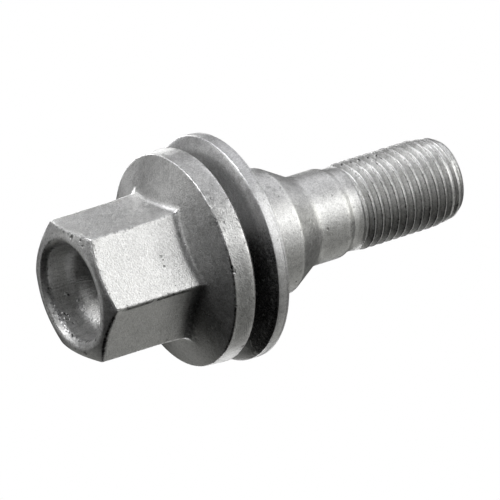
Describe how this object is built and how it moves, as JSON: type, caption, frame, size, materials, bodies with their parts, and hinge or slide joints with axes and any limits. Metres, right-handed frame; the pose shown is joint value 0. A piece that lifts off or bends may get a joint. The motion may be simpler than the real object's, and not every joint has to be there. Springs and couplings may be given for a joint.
{
  "type": "wheel bolt",
  "caption": "Wheel bolt with a hollow hexagon head, wide flange, loose captive washer, 60 degree seat cone, plain shank and short fine thread.",
  "frame": {"origin": "centre of the flat thread tip, on which the bolt stands", "axes": "+Z along the bolt's axis, from the thread tip to the head; +X towards a corner of the hexagon"},
  "size_m": [0.0302, 0.0302, 0.0582],
  "materials": {
    "bolt_coating": "matt silver-grey zinc flake coating on forged steel, with a fine sandy mottle and small handling nicks",
    "washer_coating": "matt silver-grey zinc flake coating on blanked steel"
  },
  "bodies": {
    "bolt": {"bolt": "bolt_coating"},
    "washer": {"washer": "washer_coating"}
  },
  "joints": [
    {"name": "washer_float", "type": "slide", "parent": "bolt", "child": "washer", "axis": [0, 0, 1], "range_m": [0, 0.0021]}
  ]
}
